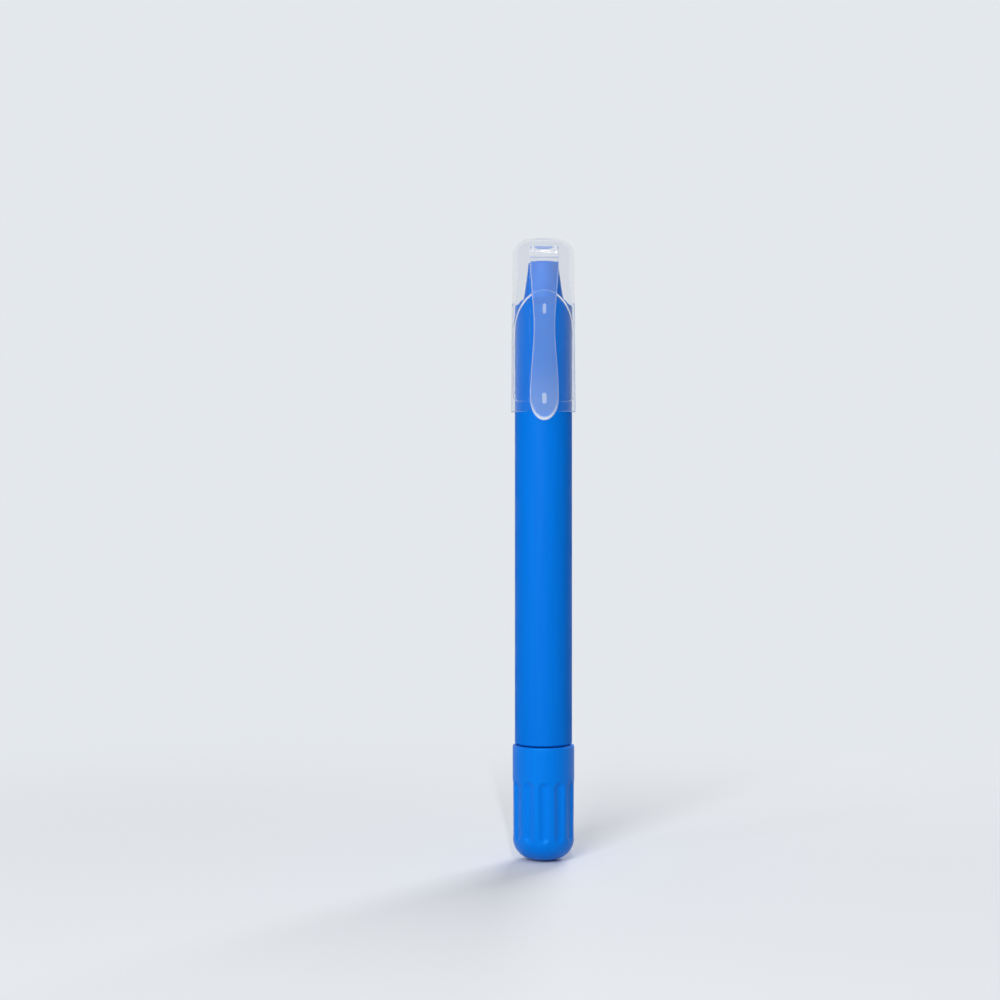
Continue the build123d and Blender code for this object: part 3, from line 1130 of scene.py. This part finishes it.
@dataclass
class Stage:
    """Pale floor and surround, soft lamps and the camera."""

    floor_half: float = 1.5
    fade_from: float = 0.05
    fade_to: float = 0.25
    paper: str = "#e9ecf0"
    backdrop: str = "#e4e8ec"
    bounce: str = "#c6c8ca"
    light_level: float = 0.14
    lamps: tuple[Softbox, ...] = (
        Softbox("key", (-0.24, -0.71, 0.36), width=0.3, height=0.3, power=4.2),
        Softbox("spark", (0.0175, -0.52, 0.6), width=0.01, height=0.45, power=1.0),
        Softbox("edge", (-0.61, -0.44, 0.12), width=0.03, height=0.5, power=0.45),
        Softbox("top", (0.0, 0.0, 1.0), width=0.5, height=0.5, power=0.8),
        Softbox("rear", (0.3, 0.75, 0.45), width=0.5, height=0.5, power=6.5, mirrored=False),
    )
    camera_place: tuple[float, float, float] = (-0.0098, -0.406, 0.0811)
    lens_mm: float = 64.8
    sensor_mm: float = 36.0

    def build(self) -> None:
        """Makes the floor, the surround, the lamps and the camera."""
        self.build_floor()
        self.build_surround()
        for lamp in self.lamps:
            lamp.build()
        self.build_camera()

    def seen(self, tree: bpy.types.NodeTree) -> bpy.types.NodeSocket:
        """Tells the rays that show the background, straight, mirrored or through clear plastic.

        Args:
            tree: the node tree of the floor or the surround.

        Returns:
            One for such a ray and zero for one that only brings light.
        """
        paths = add_node(tree, "ShaderNodeLightPath").outputs
        shown = paths["Is Camera Ray"]
        for kind in ("Is Glossy Ray", "Is Transmission Ray"):
            shown = add_node(tree, "ShaderNodeMath", {0: shown, 1: paths[kind]}, operation="MAXIMUM")
        return shown.outputs[0]

    def build_floor(self) -> None:
        """Makes the floor, which turns to the plain backdrop away from the object.

        The light that it throws back on the object is that of a greyer floor, so that it stays soft.
        """
        half = self.floor_half
        corners = [(-half, -half, 0), (half, -half, 0), (half, half, 0), (-half, half, 0)]
        mesh = bpy.data.meshes.new("floor")
        mesh.from_pydata(corners, [], [(0, 1, 2, 3)])
        floor = bpy.data.objects.new("floor", mesh)
        bpy.context.scene.collection.objects.link(floor)
        made = new_material("floor_paper")
        tree = made.node_tree
        place = add_node(tree, "ShaderNodeTexCoord").outputs["Object"]
        distance = add_node(tree, "ShaderNodeVectorMath", {0: place}, operation="LENGTH").outputs["Value"]
        away = add_node(
            tree,
            "ShaderNodeMapRange",
            {"Value": distance, "From Min": self.fade_from, "From Max": self.fade_to},
            interpolation_type="SMOOTHSTEP",
        )
        paper = add_node(tree, "ShaderNodeBsdfDiffuse", {"Color": linear(self.paper)})
        plain = add_node(tree, "ShaderNodeEmission", {"Color": linear(self.backdrop), "Strength": 1.0})
        shown = add_node(tree, "ShaderNodeMixShader", {0: away, 1: paper, 2: plain})
        dull = add_node(tree, "ShaderNodeBsdfDiffuse", {"Color": linear(self.bounce)})
        both = add_node(tree, "ShaderNodeMixShader", {0: self.seen(tree), 1: dull, 2: shown})
        add_node(tree, "ShaderNodeOutputMaterial", {"Surface": both})
        mesh.materials.append(made)

    def build_surround(self) -> None:
        """Makes the world: even light, and the plain backdrop where it is seen."""
        world = bpy.data.worlds.new("surround")
        bpy.context.scene.world = world
        world.use_nodes = True
        tree = world.node_tree
        tree.nodes.clear()
        light = add_node(tree, "ShaderNodeBackground", {"Color": (1, 1, 1, 1), "Strength": self.light_level})
        plain = add_node(tree, "ShaderNodeBackground", {"Color": linear(self.backdrop), "Strength": 1.0})
        both = add_node(tree, "ShaderNodeMixShader", {0: self.seen(tree), 1: light, 2: plain})
        add_node(tree, "ShaderNodeOutputWorld", {"Surface": both})

    def build_camera(self) -> None:
        """Makes the camera, level and square to the crayon's front."""
        data = bpy.data.cameras.new("camera")
        data.lens = self.lens_mm
        data.sensor_width = self.sensor_mm
        camera = bpy.data.objects.new("camera", data)
        camera.location = self.camera_place
        camera.rotation_euler = (math.radians(QUARTER_TURN), 0, 0)
        bpy.context.scene.collection.objects.link(camera)
        bpy.context.scene.camera = camera


def main() -> None:
    """Builds the stage and every piece, and logs the faces of each piece that it builds."""
    logging.basicConfig(level=logging.INFO, format="%(name)s %(message)s")
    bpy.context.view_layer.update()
    bpy.context.scene.view_settings.view_transform = "Standard"
    Stage().build()
    PackedPieces().dress()
    for assembly in (TwistKnob(), DriveScrew()):
        piece = assembly.build()
        log.info("built %s with %d faces", piece.name, len(piece.data.polygons))


if __name__ == "__main__":
    main()
